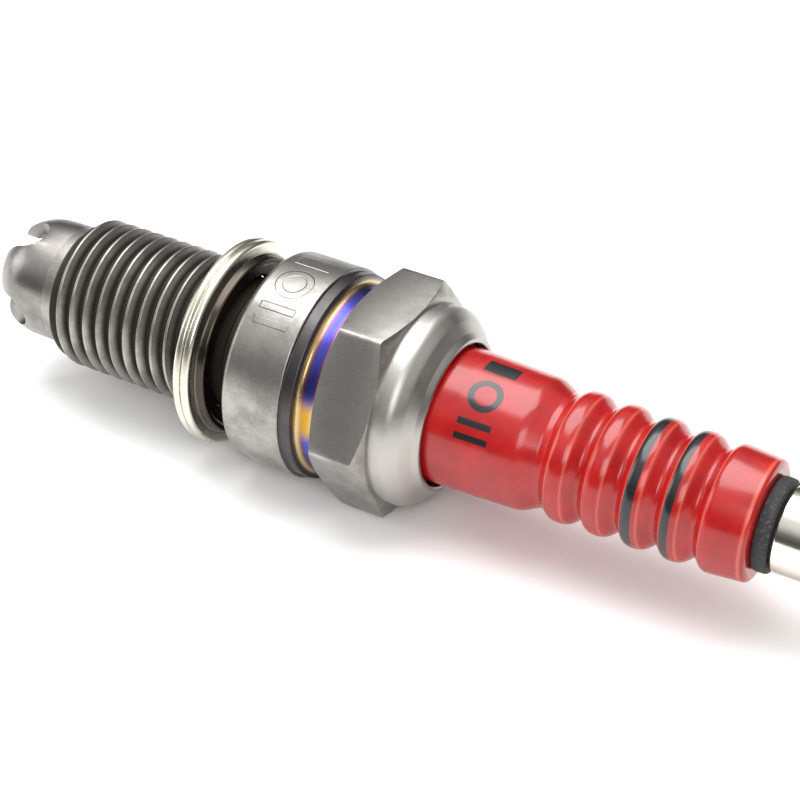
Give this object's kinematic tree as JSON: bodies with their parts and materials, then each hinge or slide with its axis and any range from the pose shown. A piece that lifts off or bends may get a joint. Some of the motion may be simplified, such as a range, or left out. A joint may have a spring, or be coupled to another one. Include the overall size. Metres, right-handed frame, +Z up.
{
  "type": "spark plug",
  "caption": "Spark plug with a metric thread, hexagon body, loose gasket, claw crown, ribbed glazed insulator and a screw-on terminal nut.",
  "frame": {"origin": "on the plug's axis, in the plane of the shell's seat face, where the gasket is pressed", "axes": "+X along the plug's axis towards the terminal, +Z up and square to two of the hexagon's flats"},
  "size_m": [0.0745, 0.0184, 0.0164],
  "materials": {
    "plated_steel": "satin nickel plate",
    "electrode_alloy": "bare nickel alloy",
    "gasket_steel": "bright zinc plate",
    "red_glaze": "glossy glaze on alumina, with fired black bands",
    "packing_steel": "plain steel wire and sheet",
    "talc": "pressed powder",
    "copper": "bare copper",
    "seal_glass": "fused copper-filled glass",
    "resistor_mix": "sintered carbon and glass",
    "stud_steel": "plated steel",
    "black_rubber": "matte with a fine speckle",
    "nut_nickel": "polished nickel"
  },
  "bodies": {
    "plug": {"shell": "plated_steel", "ground_crown": "electrode_alloy", "insulator": "red_glaze", "seat_washer": "packing_steel", "lower_packing_ring": "packing_steel", "talc_packing": "talc", "upper_packing_ring": "packing_steel", "centre_electrode": "electrode_alloy", "electrode_core": "copper", "lower_glass_seal": "seal_glass", "resistor": "resistor_mix", "upper_glass_seal": "seal_glass", "terminal_stud": "stud_steel"},
    "gasket_ring": {"gasket": "gasket_steel"},
    "washer": {"terminal_washer": "black_rubber"},
    "nut": {"terminal_nut": "nut_nickel"}
  },
  "joints": [
    {"name": "gasket_slide", "type": "slide", "parent": "plug", "child": "gasket_ring", "axis": [1, 0, 0], "range_m": [0, 0.0022]},
    {"name": "terminal_washer_lift", "type": "slide", "parent": "plug", "child": "washer", "axis": [1, 0, 0], "range_m": [0, 0.0049]},
    {"name": "terminal_nut_turn", "type": "hinge", "parent": "washer", "child": "nut", "pos_m": [0.045, 0, 0], "axis": [1, 0, 0], "range_deg": [0, 2520]}
  ],
  "couplings": [
    {"joint": "terminal_washer_lift", "follows": "terminal_nut_turn", "m_per_rad": 0.00011141}
  ]
}
